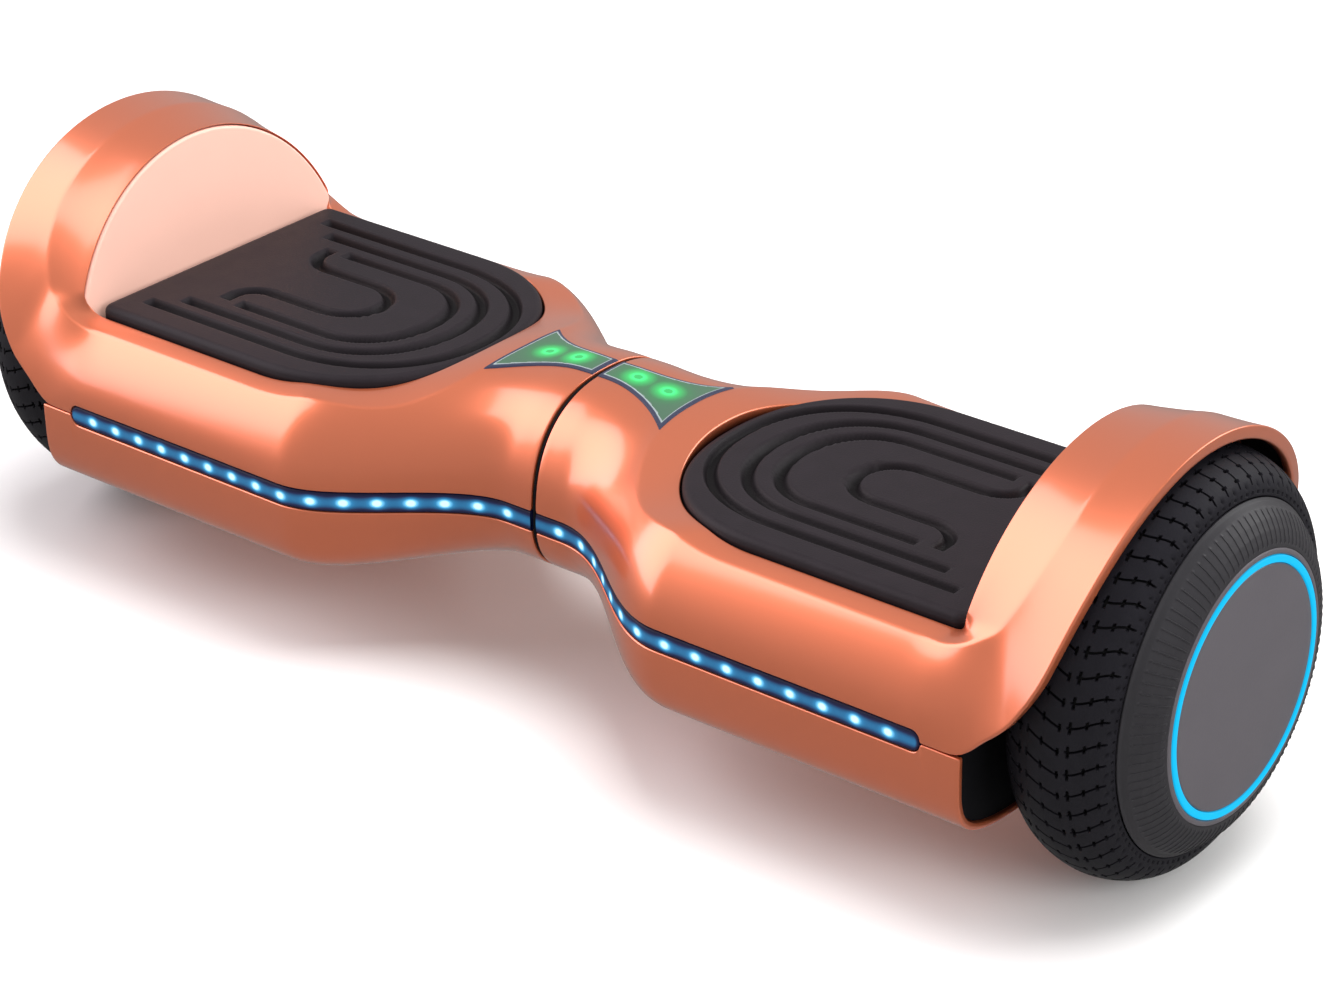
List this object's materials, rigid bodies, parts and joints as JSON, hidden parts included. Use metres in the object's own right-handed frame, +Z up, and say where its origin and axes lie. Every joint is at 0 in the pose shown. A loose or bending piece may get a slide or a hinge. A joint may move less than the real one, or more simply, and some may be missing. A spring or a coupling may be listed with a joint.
{
  "type": "self balancing hoverboard",
  "caption": "Two-wheeled self balancing board: plated half shells on a centre pivot, hub motor wheels under round fenders, rubber footpads and a front light strip.",
  "frame": {"origin": "on the floor, midway between the wheels and midway between front and rear", "axes": "+X to the wheel on the right seen from the front strip side, -Y to the front with the light strip, +Z up"},
  "size_m": [0.6, 0.1866, 0.177],
  "materials": {
    "rose_gold": "mirror bright rose gold plating",
    "black_plastic": "fine moulded texture",
    "pad_rubber": "satin moulded rubber",
    "cast_aluminium": "as cast",
    "steel": "ground",
    "dark_steel": "black oxide",
    "nylon": "moulded",
    "cable": "satin",
    "copper": "enamelled wire",
    "magnet": "nickel plated",
    "rim_metal": "dark powder coat",
    "tyre": "moulded tread",
    "hub_plastic": "satin with fine ribs",
    "hub_disc": "brushed grey",
    "ring_light": "lit diffuser",
    "light_strip": "smoked lens",
    "lamps": "lit lamps on a white board",
    "indicator": "tinted lens",
    "green_board": "solder mask",
    "heat_sink": "extruded",
    "blue_board": "solder mask",
    "battery": "shrink wrap",
    "button": "soft touch"
  },
  "bodies": {
    "left_half": {"top_cover_left": "rose_gold", "bottom_cover_left": "rose_gold", "fender_panel_left": "rose_gold", "fender_liner_left": "black_plastic", "footpad_tray_left": "black_plastic", "chassis_left": "cast_aluminium", "neck_plate_left": "black_plastic", "axle_left": "steel", "axle_clamp_left": "cast_aluminium", "motor_stator_left": "copper", "led_strip_left": "light_strip", "led_board_left": "lamps", "indicator_lens_left": "indicator", "gyro_board_left": "blue_board", "cover_screws_left": "dark_steel", "pivot_tube": "steel", "pivot_circlip": "dark_steel", "wiring_harness": "cable", "main_board": "green_board", "heat_sink": "heat_sink", "charge_socket": "steel", "power_switch": "black_plastic"},
    "right_half": {"top_cover_right": "rose_gold", "bottom_cover_right": "rose_gold", "fender_panel_right": "rose_gold", "fender_liner_right": "black_plastic", "footpad_tray_right": "black_plastic", "chassis_right": "cast_aluminium", "neck_plate_right": "black_plastic", "axle_right": "steel", "axle_clamp_right": "cast_aluminium", "motor_stator_right": "copper", "led_strip_right": "light_strip", "led_board_right": "lamps", "indicator_lens_right": "indicator", "gyro_board_right": "blue_board", "cover_screws_right": "dark_steel", "pivot_bushes": "nylon", "battery_pack": "battery", "battery_bracket": "heat_sink"},
    "wheel_left_body": {"magnet_ring_left": "magnet", "wheel_rim_left": "rim_metal", "motor_cover_left": "rim_metal", "wheel_bearings_left": "steel", "tyre_left": "tyre", "hub_cone_left": "hub_plastic", "hub_disc_left": "hub_disc", "ring_light_left": "ring_light"},
    "wheel_right_body": {"magnet_ring_right": "magnet", "wheel_rim_right": "rim_metal", "motor_cover_right": "rim_metal", "wheel_bearings_right": "steel", "tyre_right": "tyre", "hub_cone_right": "hub_plastic", "hub_disc_right": "hub_disc", "ring_light_right": "ring_light"},
    "pad_left_body": {"footpad_left": "pad_rubber"},
    "pad_right_body": {"footpad_right": "pad_rubber"},
    "button_body": {"power_button": "button"}
  },
  "joints": [
    {"name": "center_pivot", "type": "hinge", "parent": "left_half", "child": "right_half", "pos_m": [0, 0, 0.084], "axis": [1, 0, 0], "range_deg": [-12, 12]},
    {"name": "wheel_left_spin", "type": "hinge", "parent": "left_half", "child": "wheel_left_body", "pos_m": [-0.2658, 0, 0.084], "axis": [1, 0, 0], "continuous": true},
    {"name": "wheel_right_spin", "type": "hinge", "parent": "right_half", "child": "wheel_right_body", "pos_m": [0.2658, 0, 0.084], "axis": [1, 0, 0], "continuous": true},
    {"name": "footpad_left_press", "type": "slide", "parent": "left_half", "child": "pad_left_body", "axis": [0, 0, -1], "range_m": [0, 0.0015], "stiffness_N_per_m": 6000, "springref_m": -0.002},
    {"name": "footpad_right_press", "type": "slide", "parent": "right_half", "child": "pad_right_body", "axis": [0, 0, -1], "range_m": [0, 0.0015], "stiffness_N_per_m": 6000, "springref_m": -0.002},
    {"name": "power_button_press", "type": "slide", "parent": "left_half", "child": "button_body", "axis": [0, -1, 0], "range_m": [0, 0.0012], "stiffness_N_per_m": 600, "springref_m": -0.001}
  ]
}
